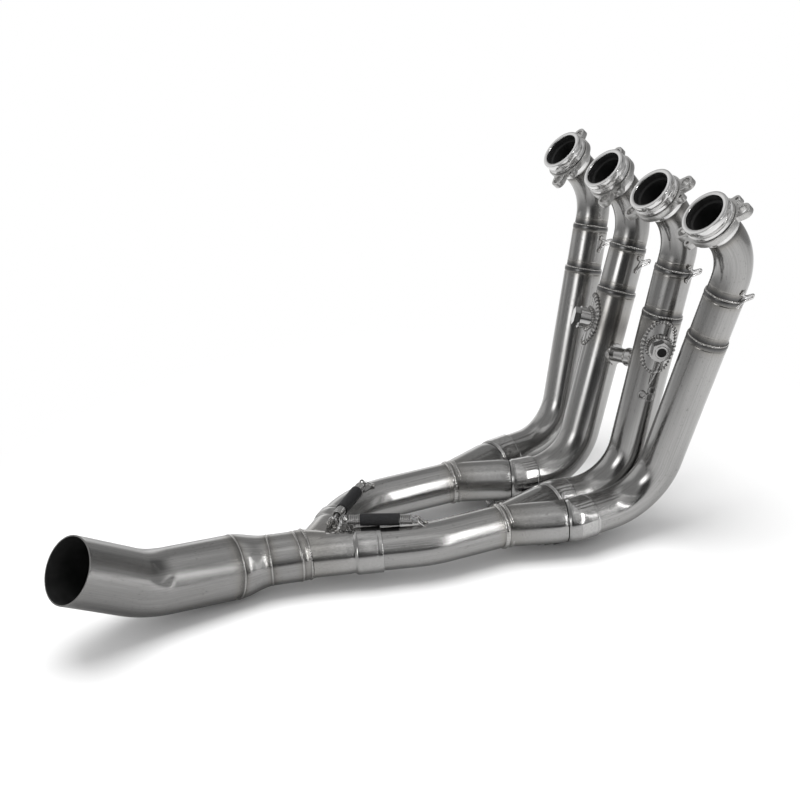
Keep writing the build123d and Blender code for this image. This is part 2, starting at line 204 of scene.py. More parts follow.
def bumps(s, spots):
    """Soft bumps along a line, given as (place, width, height): height * exp(-((s - place)/width)^2)."""
    return sum((height * np.exp(-(((s - place) / width) ** 2)) for place, width, height in spots), 0 * s)


print("outlet:", round(bent_line([flare_end, outlet_corner, outlet_end], outlet_bend)[0] / MM, 1), "mm long")

# %% [markdown]
# ## From points to a mesh
# A grid of points needs no modelling tools: its faces follow from the row and column numbers. Each
# piece then rides on a body of the frame, so that it moves with its joint.

# %% A grid of points into a mesh
def grid_faces(rows, cols, ring=False):
    """Four-sided faces of a grid whose columns close round, and whose rows close too if ring is set.

    Each face goes a step round, then a step along, so it looks outwards when the rows run along
    the direction that the columns turn round.
    """
    i = np.arange(rows if ring else rows - 1)[:, None]
    j = np.arange(cols)[None]
    a, b = i * cols + j, i * cols + (j + 1) % cols
    c, d = ((i + 1) % rows) * cols + (j + 1) % cols, ((i + 1) % rows) * cols + j
    return np.stack([a, b, c, d], -1).reshape(-1, 4)


def capped_faces(rows, cols, first=0):
    """The faces of a grid that starts at a point number, with a flat face over each end."""
    last = first + (rows - 1) * cols
    caps = [list(range(first, first + cols))[::-1], list(range(last, last + cols))]
    return (grid_faces(rows, cols) + first).tolist() + caps


def mesh_arrays(ob):
    """Points, faces and middles of the faces of an object as its modifiers or its curve make it."""
    bpy.context.view_layer.update()
    mesh = bpy.data.meshes.new_from_object(ob.evaluated_get(bpy.context.evaluated_depsgraph_get()))
    p, middle = np.empty(len(mesh.vertices) * 3), np.empty(len(mesh.polygons) * 3)
    mesh.vertices.foreach_get("co", p)
    mesh.polygons.foreach_get("center", middle)
    faces = [tuple(f.vertices) for f in mesh.polygons]
    bpy.data.meshes.remove(mesh)
    return p.reshape(-1, 3), faces, middle.reshape(-1, 3)


def make_piece(name, points, faces, coats, body="header", coat_of=None, marks=None, sharp=35.0):
    """A mesh object from arrays: it rides on a body, and holds its coats and its marks per point."""
    points = np.asarray(points, float).reshape(-1, 3) + np.array(port_row)
    mesh = bpy.data.meshes.new(name)
    mesh.from_pydata(points.tolist(), [], [list(f) for f in faces])
    for coat in coats:
        mesh.materials.append(coat)
    if coat_of is not None:
        mesh.polygons.foreach_set("material_index", np.asarray(coat_of, np.int32))
    for mark, values in (marks or {}).items():
        values = np.asarray(values, np.float32)
        kind, field = ("FLOAT_VECTOR", "vector") if values.ndim == 2 else ("FLOAT", "value")
        mesh.attributes.new(mark, kind, "POINT").data.foreach_set(field, values.ravel())
    mesh.shade_smooth()
    mesh.set_sharp_from_angle(angle=radians(sharp))
    mesh.update()
    piece = bpy.data.objects.new(name, mesh)
    bpy.context.scene.collection.objects.link(piece)
    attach(piece, body)
    return piece


print("faces of a tube of 40 rows and 96 columns:", len(grid_faces(40, 96, ring=True)))

# %% [markdown]
# ## Metals
# A header is bare steel, so its looks come from how it was worked: drawn tube has a faint grain
# along its length, turned rings have rings, welds are rippled and dull. Each of these could be
# painted on; here they are small node groups that change the colour a little and lift the surface,
# and the shader itself stays in each material.

# %% Node helpers
class Wiring:
    """Short ways to add nodes to a tree: a plain value sets an input, a socket is linked to it."""

    def __init__(self, tree):
        self.nodes, self.link = tree.nodes, tree.links.new

    def add(self, kind, inputs=(), **settings):
        """A node with its settings and its inputs, which are given by name or number."""
        node = self.nodes.new(kind)
        for key, value in settings.items():
            setattr(node, key, value)
        for key, value in dict(inputs).items():
            if isinstance(value, bpy.types.NodeSocket):
                self.link(value, node.inputs[key])
            else:
                node.inputs[key].default_value = value
        return node

    def number(self, operation, *values, clamp=False):
        """A sum, product or other function of numbers."""
        return self.add("ShaderNodeMath", enumerate(values), operation=operation, use_clamp=clamp).outputs[0]

    def mapped(self, value, low, high, to_low=0.0, to_high=1.0, kind="LINEAR"):
        """A value between low and high carried over to another range, and held at its ends."""
        spans = {"Value": value, "From Min": low, "From Max": high, "To Min": to_low, "To Max": to_high}
        return self.add("ShaderNodeMapRange", spans, interpolation_type=kind).outputs["Result"]

    def blended(self, factor, a, b, how="MIX"):
        """Two colours mixed or multiplied."""
        return self.add("ShaderNodeMix", {0: factor, 6: a, 7: b}, data_type="RGBA", blend_type=how).outputs[2]

    def ramp(self, value, stops):
        """A colour ramp with stops given as (place, colour)."""
        node = self.add("ShaderNodeValToRGB", {"Fac": value})
        elements = node.color_ramp.elements
        elements[0].position, elements[1].position = stops[0][0], stops[-1][0]
        for spot, _ in stops[1:-1]:
            elements.new(spot)
        for element, (_, colour) in zip(elements, stops):
            element.color = (*colour, 1)
        return node.outputs["Color"]


def group(name, inputs, outputs):
    """An empty shader node group with named sockets, given as (name, kind, value)."""
    tree = bpy.data.node_groups.new(name, "ShaderNodeTree")
    for label, kind, value in inputs:
        socket = tree.interface.new_socket(name=label, in_out="INPUT", socket_type=kind)
        if value is not None:
            socket.default_value = value
    for label, kind in outputs:
        tree.interface.new_socket(name=label, in_out="OUTPUT", socket_type=kind)
    taken, given = tree.nodes.new("NodeGroupInput"), tree.nodes.new("NodeGroupOutput")
    return tree, Wiring(tree), taken.outputs, given.inputs


def new_coat(name):
    """A material with nodes, its wiring and its shader."""
    coat = bpy.data.materials.new(name)
    coat.use_nodes = True
    return coat, Wiring(coat.node_tree), coat.node_tree.nodes["Principled BSDF"]


# %% Grain of drawn tube
FLOAT, COLOR, VECTOR = "NodeSocketFloat", "NodeSocketColor", "NodeSocketVector"
drawn_grain, wires, taken, given = group(
    "drawn_grain", [("Place", VECTOR, None), ("Stretch", VECTOR, (1400.0, 1400.0, 30.0))],
    [("Grain", FLOAT), ("Height", FLOAT)],
)
stretched = wires.add("ShaderNodeVectorMath", {0: taken["Place"], 1: taken["Stretch"]}, operation="MULTIPLY")
lines = wires.add("ShaderNodeTexNoise", {"Vector": stretched.outputs[0], "Scale": 1.0, "Detail": 4.0})
wires.link(wires.mapped(lines.outputs["Fac"], 0.36, 0.64, 0.25, 1.0), given["Grain"])
wires.link(lines.outputs["Fac"], given["Height"])

# %% Handling marks, and heat round a weld
handling, wires, taken, given = group(
    "handling", [("Place", VECTOR, None), ("Scale", FLOAT, 22.0)], [("Smudge", FLOAT), ("Specks", FLOAT)],
)
smears = wires.add("ShaderNodeTexNoise", {"Vector": taken["Place"], "Scale": taken["Scale"], "Detail": 4.0})
spots = wires.add("ShaderNodeTexNoise", {"Vector": taken["Place"], "Scale": 420.0, "Detail": 5.0})
wires.link(smears.outputs["Fac"], given["Smudge"])
wires.link(wires.mapped(spots.outputs["Fac"], 0.62, 0.72), given["Specks"])

weld_heat, wires, taken, given = group(
    "weld_heat", [("Steel", COLOR, (0.5, 0.5, 0.5, 1)), ("Heat", FLOAT, 0.0), ("Smudge", FLOAT, 0.5)],
    [("Color", COLOR), ("Dullness", FLOAT)],
)
uneven = wires.number("MULTIPLY_ADD", taken["Smudge"], 0.25, -0.12)
warm = wires.number("ADD", taken["Heat"], uneven, clamp=True)
bands = wires.ramp(warm, ((0.0, (1, 1, 1)), (0.35, (0.88, 0.865, 0.84)), (0.62, (0.54, 0.53, 0.515)),
                          (0.8, (0.35, 0.353, 0.36)), (1.0, (0.20, 0.195, 0.19))))
wires.link(wires.blended(1.0, taken["Steel"], bands, "MULTIPLY"), given["Color"])
wires.link(warm, given["Dullness"])
print("node groups:", [g.name for g in bpy.data.node_groups])


# %% [markdown]
# ## From steel to a material
# All the bare metals are one recipe with different numbers: a base colour, how even the shine is,
# how deep the grain is and which way it runs. The grain reads where a point is on its own piece:
# "tube" holds the place round and along a tube, and solids without it read Object coordinates.
# "weld_warmth" holds how near a weld is. It can't be called heat, a name that the renderer keeps.

# %% One recipe for bare metal
def bare_metal(name, colour, rough, vary, grain, depth, specks=0.0, place="Object"):
    """A Principled metal: colour times heat and smudges, roughness that drifts, grain as bump."""
    coat, wires, shader = new_coat(name)
    on_piece = wires.add("ShaderNodeTexCoord").outputs["Object"]
    along = on_piece
    if place != "Object":
        along = wires.add("ShaderNodeAttribute", attribute_name=place).outputs["Vector"]
    heat = wires.add("ShaderNodeAttribute", attribute_name="weld_warmth").outputs["Fac"]
    marks = wires.add("ShaderNodeGroup", node_tree=handling)
    wires.link(on_piece, marks.inputs["Place"])
    smudge = marks.outputs["Smudge"]
    fine = wires.add("ShaderNodeGroup", node_tree=drawn_grain)
    fine.inputs["Stretch"].default_value = grain
    wires.link(along, fine.inputs["Place"])
    tint = wires.add("ShaderNodeGroup", node_tree=weld_heat)
    tint.inputs["Steel"].default_value = (*colour, 1)
    wires.link(heat, tint.inputs["Heat"])
    wires.link(smudge, tint.inputs["Smudge"])
    grey = wires.add("ShaderNodeCombineColor", {channel: fine.outputs["Grain"] for channel in range(3)})
    streaked = wires.blended(0.24, tint.outputs["Color"], grey.outputs[0], "MULTIPLY")
    dirt = wires.number("MULTIPLY", marks.outputs["Specks"], specks)
    wires.link(wires.blended(dirt, streaked, (0.05, 0.048, 0.045, 1)), shader.inputs["Base Color"])
    drift = wires.number("MULTIPLY_ADD", smudge, 3 * vary, rough - 1.5 * vary)
    dull = wires.number("MULTIPLY_ADD", tint.outputs["Dullness"], 0.12, drift, clamp=True)
    wires.link(dull, shader.inputs["Roughness"])
    bump = {"Distance": depth * MM, "Height": fine.outputs["Height"], "Strength": 1.0}
    lift = wires.add("ShaderNodeBump", bump)
    wires.link(lift.outputs["Normal"], shader.inputs["Normal"])
    shader.inputs["Metallic"].default_value = 1.0
    return coat


# name, colour, roughness, its drift, grain, its depth in mm, specks, what the grain follows
metals = (
    ("pipe_steel", (0.43, 0.426, 0.42), 0.20, 0.09, (1500.0, 1500.0, 16.0), 0.005, 0.35, "tube"),
    ("collector_steel", (0.43, 0.427, 0.422), 0.19, 0.09, (45.0, 2200.0, 2200.0), 0.003, 0.3),
    ("cup_steel", (0.55, 0.545, 0.54), 0.10, 0.03, (500.0,) * 3, 0.003),
    ("merge_steel", (0.52, 0.516, 0.51), 0.16, 0.07, (60.0, 1800.0, 1800.0), 0.003, 0.2),
    ("turned_steel", (0.86, 0.855, 0.85), 0.16, 0.03, (40.0, 40.0, 5200.0), 0.006, 0.0, "tube"),
    ("plate_steel", (0.60, 0.595, 0.585), 0.3, 0.08, (900.0,) * 3, 0.03, 0.12),
    ("bead_steel", (0.62, 0.615, 0.61), 0.13, 0.08, (1600.0,) * 3, 0.02, 0.5),
    ("wire_steel", (0.68, 0.675, 0.67), 0.16, 0.04, (2200.0,) * 3, 0.01, 0.1),
    ("coil_steel", (0.50, 0.495, 0.49), 0.22, 0.05, (2200.0,) * 3, 0.01, 0.2),
    ("bung_steel", (0.60, 0.595, 0.59), 0.17, 0.06, (1500.0,) * 3, 0.02, 0.15),
)
(pipe_steel, collector_steel, cup_steel, merge_steel, turned_steel,
 plate_steel, bead_steel, wire_steel, coil_steel, bung_steel) = (bare_metal(*row) for row in metals)
print("bare metals:", len(bpy.data.materials))

# %% [markdown]
# ## Painted bore shade and rubber
# Inside, the tubes, the port bores and the plug socket get a near black, dull coat: painted shade that stands
# in for the dark deep in them. The spring sleeves are matt black rubber hose with a fine woven print on it
# and a little grey dust. Neither is a metal, so each has its own nodes.

# %% Painted shade inside the tubes
def dull_black(name, colour, rough, scale, depth):
    """A plain dielectric whose colour and height drift with noise."""
    coat, wires, shader = new_coat(name)
    where = wires.add("ShaderNodeTexCoord").outputs["Object"]
    cloud = wires.add("ShaderNodeTexNoise", {"Vector": where, "Scale": scale, "Detail": 5.0}).outputs["Fac"]
    dark, pale = (tuple(c * share for c in colour) for share in (0.6, 1.7))
    wires.link(wires.ramp(cloud, ((0.35, dark), (0.75, pale))), shader.inputs["Base Color"])
    wires.link(wires.mapped(cloud, 0.0, 1.0, rough - 0.08, rough + 0.08), shader.inputs["Roughness"])
    lift = wires.add("ShaderNodeBump", {"Distance": depth * MM, "Height": cloud})
    wires.link(lift.outputs["Normal"], shader.inputs["Normal"])
    shader.inputs["Specular IOR Level"].default_value = 0.35
    return coat


# painted shade: a near black, dull coat for bores and recesses, which stands in for the dark deep inside them
painted_bore_shade = dull_black("painted_bore_shade", (0.012, 0.012, 0.012), 0.7, 60.0, 0.1)
sleeve_rubber = dull_black("sleeve_rubber", (0.014, 0.014, 0.015), 0.6, 900.0, 0.08)
print("dull blacks:", painted_bore_shade.name, sleeve_rubber.name)


# %% [markdown]
# ## Tubes with a real wall
# A tube's section in length is a thin strip: out along the skin, over the rim, back along the
# bore and over the other rim. Carried round the centre line, the strip closes on itself, so the
# tube has no open edge. Steps, grooves and rolled rims are only numbers in that strip.

# %% Tube from a strip
def skin_rows(length, radius, near_rim=0.35 * MM, extra=(), spacing=2 * MM):
    """Rows of the outer skin as places along and radii, with rims rounded off by a quarter circle.

    extra holds soft steps in radius, as bumps does.
    """
    far_rim = 0.35 * MM
    a = np.linspace(0, pi / 2, 5)
    inside = np.linspace(near_rim, length - far_rim, max(4, int(length / spacing)))
    fine = [np.linspace(place - 3 * width, place + 3 * width, 15) for place, width, _ in extra]
    inside = np.unique(np.concatenate([inside, *fine]).clip(near_rim, length - far_rim))
    s = np.concatenate([near_rim * (1 - np.cos(a[:4])), inside, length - far_rim * (1 - np.sin(a[1:]))])
    r = np.full(s.shape, radius)
    r[:4] -= near_rim * (1 - np.sin(a[:4]))
    r[-4:] -= far_rim * (1 - np.cos(a[1:]))
    return s, r + bumps(s, extra)


def tube_marks(radius, along, around):
    """Place on a tube for its grain: (R cos a, R sin a, distance along)."""
    a = turn_points(around)
    places = np.broadcast_arrays(radius * np.cos(a), radius * np.sin(a), np.asarray(along)[:, None])
    return np.stack(places, -1).reshape(-1, 3)


def tube_piece(name, points, along, radius, heats, bore_from, node):
    """A closed tube of steel whose bore has a black coat of painted shade from one row on, in place of a
    solid of the frame.
    """
    rows, around = points.shape[:2]
    piece = make_piece(
        name, points, grid_faces(rows, around, ring=True), [pipe_steel, painted_bore_shade],
        # the bore rows take the black coat: painted shade
        coat_of=np.repeat(np.arange(rows) >= bore_from, around),
        marks={"tube": tube_marks(radius, along, around),
               "weld_warmth": np.repeat(bumps(along, heats), around)},
    )
    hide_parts(node)
    return piece


def carried_tube(name, corners, bend, radius, node, ref=row_way, heats=(), extra=(), around=96, **rims):
    """A tube with a wall along a bent line, out along the skin and back in the bore.

    The section at s is P(s) + r(s) * (cos a * N + sin a * B). A negative place among the heats and
    the steps is measured back from the far end.
    """
    length, at = bent_line(corners, bend)
    heats, extra = ([(p + length * (p < 0), w, h) for p, w, h in spots] for spots in (heats, extra))
    s, r = skin_rows(length, radius, extra=extra, **rims)
    back = np.linspace(length, 0, max(4, int(length / (4 * MM))))
    along = np.concatenate([s, back])
    p, t = at(along)
    points = rings(p, np.concatenate([r, np.full(back.shape, radius - wall)]), *sides(t, ref), around)
    piece = tube_piece(name, points, along, radius - wall, heats, len(s), node)
    print(name, round(length / MM, 1), "mm,", len(piece.data.polygons), "faces")


# %% [markdown]
# ## Head pipes
# At each step the real pipe is swaged: the next tube's mouth is rolled down a little over the one
# inside it and tacked, and a few millimetres on a shallow groove runs round. A stack of plain
# cylinders would miss that, so each mouth gets a rolled rim and a groove.

# %% Three tubes a pipe
rolled_rim = 1.1 * MM
swage = [mm(5.2, 0.6, -0.28), mm(2.6, 1.4, 0.22)]
groove = mm(-13.5, 0.5, -0.10)
by_mouth, by_next = (0, 7 * MM, 0.9), (-insert, 7 * MM, 0.95)
bung_heat = {2: [(36 * MM, 20 * MM, 0.6)], 3: [(29.6 * MM, 20 * MM, 0.6)]}
for k, (_, corner, end) in routes.items():
    top, way = leg(k)
    carried_tube(f"upper_tube_{k}", [port(k) - out * 9.5 * MM, top, top + way * (step_from + insert)],
                 upper_bend, head_r, f"upper_pipe_{k}",
                 heats=[(17 * MM, 7 * MM, 0.8), by_next], extra=[groove])
    carried_tube(f"step_tube_{k}", [top + way * step_from, top + way * (step_to + insert)], 0, step_r,
                 f"step_pipe_{k}", heats=[by_mouth, by_next], extra=[*swage, groove], near_rim=rolled_rim)
    carried_tube(f"lower_tube_{k}", [top + way * step_to, corner, end], lower_bend, lower_r,
                 f"lower_pipe_{k}", heats=[by_mouth, *bung_heat.get(k, [])], extra=swage, near_rim=rolled_rim)


# %% [markdown]
# ## Beads
# A weld by hand leaves a stack of crescents. Each bead here is a low dome carried round a pipe, and
# crescents are a wave in its height that bends back at the edges. Displacing a plain ring with a
# texture would need far more points for the same edge.

# %% A rippled ring bead
def ring_bead(name, centre, axis, radius, width, height, ripples, seed=0, wave=0.16):
    """A bead round a pipe: r = R + h * dome(b) * (1 + w * cos(n*a + bend * b^2)), closed underneath.

    b runs from -1 to 1 across the bead and the dome is (1 - b^2)^0.7; slow waves in n*a make the
    crescents uneven.
    """
    axis = unit(axis)
    n, b = sides(axis, z_way if abs(axis[2]) < 0.9 else -back_way)
    around = max(96, ripples * 6)
    a = turn_points(around)
    across = -np.cos(np.linspace(0, pi, 11))
    uneven = 0.5 * np.sin(3 * a + seed) + 0.35 * np.sin(7 * a + 2.1 * seed)
    phase = ripples * (a + 0.06 * np.sin(4 * a + seed)) + 1.9 * (across**2)[:, None]
    dome = (1 - across**2).clip(0)[:, None] ** 0.7
    rise = height * dome * (1 + wave * np.cos(phase) + 0.10 * uneven)
    along = across[:, None] * width / 2 + 0.06 * width * np.sin(2 * a + 1.7 * seed)
    rise = np.vstack([rise, np.full((2, around), -0.25 * MM)])
    along = np.vstack([along, along[-1:], along[:1]])
    points = rings(centre + along[..., None] * axis, radius + rise, n, b, around)
    heat = np.full(rise.shape, 0.25) + 0.2 * np.cos(phase[:1])
    make_piece(name, points, grid_faces(len(rise), around, ring=True), [bead_steel],
               marks={"weld_warmth": heat.ravel()}, sharp=80)


bead_width, bead_height = 2.4 * MM, 1.15 * MM
for k in routes:
    top, way = leg(k)
    for name, start, radius, ripples, seed in (
        ("first", step_from, head_r, 40, k),
        ("second", step_to, step_r, 43, k + 9),
    ):
        ring_bead(f"{name}_step_bead_{k}", top + way * (start + 0.1 * MM), way, radius,
                  bead_width, bead_height, ripples, seed)
    ring_bead(f"neck_bead_{k}", port(k) - out * 26.4 * MM, -out, head_r, 3.0 * MM, 1.2 * MM, 38, seed=k + 20)
print("beads on the head pipes: 12")

# %% [markdown]
# ## Port rings
# A port ring is turned on a lathe from bar: a flat sealing face, a groove, a shoulder that the
# loose flange pushes on, and a neck. Turning means revolving one profile, so the profile is all
# there is to write. The small chamfers matter most, since they catch the light.

# %% Turned rings
def turned(name, face, profile, coat, axis, ref, around=144, dark=(0, 0)):
    """A closed profile of (depth, radius) in mm turned round an axis, with a black coat of painted shade
    between two corners.
    """
    d, r = np.array(profile).T * MM
    points = rings(face + d[:, None] * axis, r, *sides(axis, ref), around)
    row = np.repeat(np.arange(len(d)), around)
    coats = [coat, painted_bore_shade] if dark[1] else [coat]
    return make_piece(name, points, grid_faces(len(d), around, ring=True), coats,
                      coat_of=(row >= dark[0]) & (row < dark[1]),
                      marks={"tube": tube_marks(20 * MM, d + r, around)}, sharp=28)


ring_profile = [
    (0.0, 19.3), (0.0, 22.1), (0.12, 22.45), (0.45, 22.85), (0.9, 23.0), (5.2, 23.0), (5.5, 22.85),
    (6.4, 21.2), (7.3, 21.1), (7.6, 21.4), (8.3, 23.1), (8.7, 23.4), (11.6, 23.4), (12.0, 23.0),
    (12.0, 19.5), (25.4, 19.5), (26.0, 19.2), (26.0, 17.5), (9.5, 17.5), (9.5, 16.2), (8.3, 16.25),
    (7.5, 18.2), (7.2, 18.4), (1.2, 18.4), (0.25, 18.8),
]
for k in routes:
    # the bore of each ring, between corners 17 and 23, takes the black coat: painted shade
    ring = turned(f"turned_port_ring_{k}", port(k), ring_profile, turned_steel,
                  -out, row_way, dark=(17, 23))
    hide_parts(f"port_ring_{k}")
print("port rings:", len(ring_profile), "corners in the profile")

# %% [markdown]
# ## Loose flanges
# Each flange is cut from plate: a round middle, two ears for the port studs and a small drilled
# lobe beside each ear. A flat curve with holes, given a thickness and a small rounded edge, is the
# simplest way to such a plate. Its outline is a soft maximum of the round middle and the lobes.

# %% Flange plates
flange_turn = {4: 138.0, 3: 129.0, 2: 53.0, 1: 64.5}
lobe_turn = {4: -34.0, 3: 32.0, 2: -34.0, 1: -34.0}
plate_r, plate_bore, plate_thick, plate_edge = 25.3, 19.9, 6.3 * MM, 0.45 * MM


def lobed_outline(turn, lobes, count=360):
    """Outline in mm: the soft maximum of the middle and of each round lobe seen from the centre.

    A lobe of radius e whose centre is c away shows c*cos(d) + sqrt(e^2 - c^2 sin^2 d) at an angle d
    from it.
    """
    a = turn_points(count)
    radii = [np.full(count, plate_r)]
    for at_angle, c, e in lobes:
        d = a - radians(at_angle + turn)
        under = e**2 - (c * np.sin(d)) ** 2
        radii.append(np.where((under > 0) & (np.cos(d) > 0), c * np.cos(d) + np.sqrt(under.clip(0)), 0))
    soft = 1.6
    r = np.log(sum(np.exp(x / soft) for x in radii)) * soft
    r -= soft * np.log(1 + 0.25 * np.exp(-np.abs(r - 25.5)))
    kernel = np.hanning(11) / np.hanning(11).sum()
    r = np.convolve(np.concatenate([r[-5:], r, r[:5]]), kernel, "valid")
    return np.stack([r * np.cos(a), r * np.sin(a)], -1)


def flat_plate(loops, thick, edge, origin, x_way, y_way):
    """Points and faces of a plate from flat loops in mm, as thick as asked, its edges rounded by edge."""
    curve = bpy.data.curves.new("outline", "CURVE")
    curve.dimensions, curve.fill_mode, curve.bevel_resolution = "2D", "BOTH", 2
    curve.extrude, curve.bevel_depth, curve.offset = thick / 2 - edge, edge, -edge
    for loop in loops:
        spline = curve.splines.new("POLY")
        spline.points.add(len(loop) - 1)
        flat = np.column_stack([loop * MM, np.zeros(len(loop)), np.ones(len(loop))])
        spline.points.foreach_set("co", flat.ravel())
        spline.use_cyclic_u = True
    holder = bpy.data.objects.new("outline", curve)
    bpy.context.scene.collection.objects.link(holder)
    p, faces, _ = mesh_arrays(holder)
    bpy.data.objects.remove(holder)
    p[:, 2] += thick / 2
    return origin + p @ np.array([x_way, y_way, np.cross(x_way, y_way)]), faces


def circle(distance, angle, radius, count=48):
    """Points of a circle in mm, whose middle lies some way off at an angle in degrees."""
    a = turn_points(count)
    middle = distance * np.array([cos(radians(angle)), sin(radians(angle))])
    return middle + radius * np.stack([np.cos(a), np.sin(a)], -1)


for k in routes:
    turn, lobe = flange_turn[k], lobe_turn[k]
    lobes = [(0, 30.0, 7.3), (180, 30.0, 7.3), (lobe, 26.5, 5.0), (180 + lobe, 26.5, 5.0)]
    holes = [(0, 30.0, 4.3), (180, 30.0, 4.3), (lobe, 28.0, 1.5), (180 + lobe, 28.0, 1.5)]
    loops = [lobed_outline(turn, lobes), circle(0, 0, plate_bore, 96)]
    loops += [circle(c, a + turn, e) for a, c, e in holes]
    points, faces = flat_plate(loops, plate_thick, plate_edge, port(k) - out * 12.4 * MM, row_way, port_up)
    plate = make_piece(f"flange_plate_{k}", points, faces, [plate_steel],
                       body=f"flange_{k}", sharp=32)
    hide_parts(f"port_flange_{k}")
    print(f"flange {k}:", len(plate.data.polygons), "faces")


# %% [markdown]
# ## Collectors and the Y
# Where two pipes become one, the sheets meet in a crease. Each branch is a tube of its own here,
# wide at its slip cup and narrow at its far end; the outsides are joined, then the insides are
# cut away, both with exact booleans. One smooth lofted shape would lose the crease.

# %% Solid branches and their joining
def solid_tube(name, centres, radii, ways, around=96):
    """A closed solid of circles along a line, with a flat cap at each end."""
    points = rings(centres, radii, *sides(ways, z_way), around)
    mesh = bpy.data.meshes.new(name)
    mesh.from_pydata(points.reshape(-1, 3).tolist(), [], capped_faces(len(radii), around))
    solid = bpy.data.objects.new(name, mesh)
    bpy.context.scene.collection.objects.link(solid)
    return solid


def joined(name, outers, inners, coats, node, hot, ground=()):
    """The outer solids made one, the inner ones cut away.

    Faces in a cup take the second coat: those whose middle m has 0 < (m - start) . way < length, and
    |m - start - that * way| near the cup's radius.
    """
    base = outers[0]
    for i, other in enumerate(outers[1:] + inners):
        step = base.modifiers.new(f"join_{i}", "BOOLEAN")
        step.operation = "UNION" if other in outers else "DIFFERENCE"
        step.solver, step.object = "EXACT", other
    p, faces, middle = mesh_arrays(base)
    for solid in outers + inners:
        bpy.data.objects.remove(solid)
    coat_of = np.zeros(len(middle), int)
    for start, way, length, radius in ground:
        far = (middle - start) @ way
        off = np.linalg.norm(middle - start - far[:, None] * way, axis=1)
        coat_of[(far > -1 * MM) & (far < length) & (abs(off - radius) < 2.6 * MM)] = 1
    spot, spread, strength = hot
    heat = strength * np.exp(-((np.linalg.norm(p - spot, axis=1) / spread) ** 2))
    piece = make_piece(name, p, faces, coats, coat_of=coat_of,
                       marks={"weld_warmth": heat.clip(0, 1)}, sharp=24)
    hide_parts(node)
    print(name + ":", len(faces), "faces")


# place along a slip cup and change in radius, in mm: rolled mouth, cup, then a neck that dips
cup_mould = [
    (0, -0.5), (0.25, -0.18), (0.6, -0.04), (1.2, 0), (2.2, 0), (2.6, -0.22), (3.0, -0.22), (3.4, 0),
    (5, 0), (9, 0), (13, 0), (18, 0), (22, 0), (23.6, -0.06), (24.4, -0.3), (25.1, -0.8), (25.8, -1.2),
    (26.6, -1.3), (27.6, -1.2), (29, -0.85), (31, -0.5), (33.5, -0.18), (36.5, 0),
]


def branch_solid(k, outlet, less, name):
    """Slip cup, neck and taper of one branch of a collector, along its bent line."""
    way, start = run_of(k)[1], mouth(k)
    root = start + way * cup_length
    cone, taper = unit(outlet - root), np.linalg.norm(outlet - root)
    s, dip = np.array(cup_mould).T * MM
    dip = dip * (not less)
    on_cup = s <= cup_length
    along = np.unique(np.concatenate([np.linspace(0, 1, 26), (s[~on_cup] - cup_length) / taper]))[1:]
    t = np.concatenate([s[on_cup], cup_length + along * taper])
    neck = np.interp(cup_length + along * taper, s, dip, right=0)
    r = cup_r + np.concatenate([dip[on_cup], (second_r - cup_r) * along + neck])
    centres = np.where((t <= cup_length)[:, None], start + t[:, None] * way,
                       root + (t - cup_length)[:, None] * cone)
    bend = np.clip((t - cup_length) / (10 * MM) + 0.5, 0, 1)[:, None]
    ways = unit(way * (1 - bend) + cone * bend)
    end_turn = np.clip((t - t[-1]) / (20 * MM) + 1, 0, 1)[:, None]
    ways = unit(ways * (1 - end_turn) + back_way * end_turn)
    if less:
        centres = np.vstack([centres[:1] - way * 2 * MM, centres, centres[-1:] + back_way * 2 * MM])
        ways = np.vstack([ways[:1], ways, ways[-1:]])
        r = np.concatenate([r[:1], r, r[-1:]]) - less
    return solid_tube(name, centres, r, ways)


for name, pair, outlet in (("near", (4, 3), near_end), ("far", (2, 1), far_end)):
    outers, inners = ([branch_solid(k, outlet, less, f"branch_{k}") for k in pair] for less in (0, wall))
    joined(f"{name}_two_into_one", outers, inners, [collector_steel, cup_steel], f"{name}_collector",
           (outlet, 26 * MM, 0.7), [(mouth(k), run_of(k)[1], 24 * MM, cup_r) for k in pair])

# %% [markdown]
# ## The last merge
# The Y has the same parts in another order: two slip cups halfway along the branches, a neck behind
# each, and a short cone into the throat.

# %% The Y
way_near, way_far = unit(near_meet - near_corner), unit(far_meet - far_corner)
run_near, run_far = np.linalg.norm(near_meet - near_corner), np.linalg.norm(far_meet - far_corner)
cup_front, rear_near, rear_far = 0.40, 0.62, 0.53
merge_mould = [(0, -0.5), (0.25, -0.18), (0.6, -0.04), (1.2, 0), (3, 0), (4.2, 0), (4.6, -0.12), (5.0, -0.12),
               (5.4, 0), (8, 0)]
neck_mould = [(-3.2, 0), (-2.2, -0.1), (-1.2, -0.5), (-0.4, -1.2), (0.6, -1.9), (1.8, -2.1), (3.4, -1.9),
              (6, -1.5)]


def merge_branch(corner, way, run, rear_share, less, name):
    """One branch of the Y: a slip cup with a rolled mouth and a dipped neck, then a plain tube."""
    front, rear = run * cup_front, run * rear_share
    (s, dip), (neck, fall) = np.array(merge_mould).T * MM, np.array(neck_mould).T * MM
    t = np.concatenate([front + s, rear + neck, np.linspace(rear + 9 * MM, run, 12)])
    r = np.concatenate([merge_cup_r + dip, merge_cup_r + fall, np.full(12, second_r)])
    if less:
        r = np.where(t < rear, merge_cup_r, second_r) - less
        t = np.concatenate([[front - 2 * MM], t, [run + 2 * MM]])
        r = np.concatenate([r[:1], r, r[-1:]])
    return solid_tube(name, corner + t[:, None] * way, r, np.tile(way, (len(t), 1)))


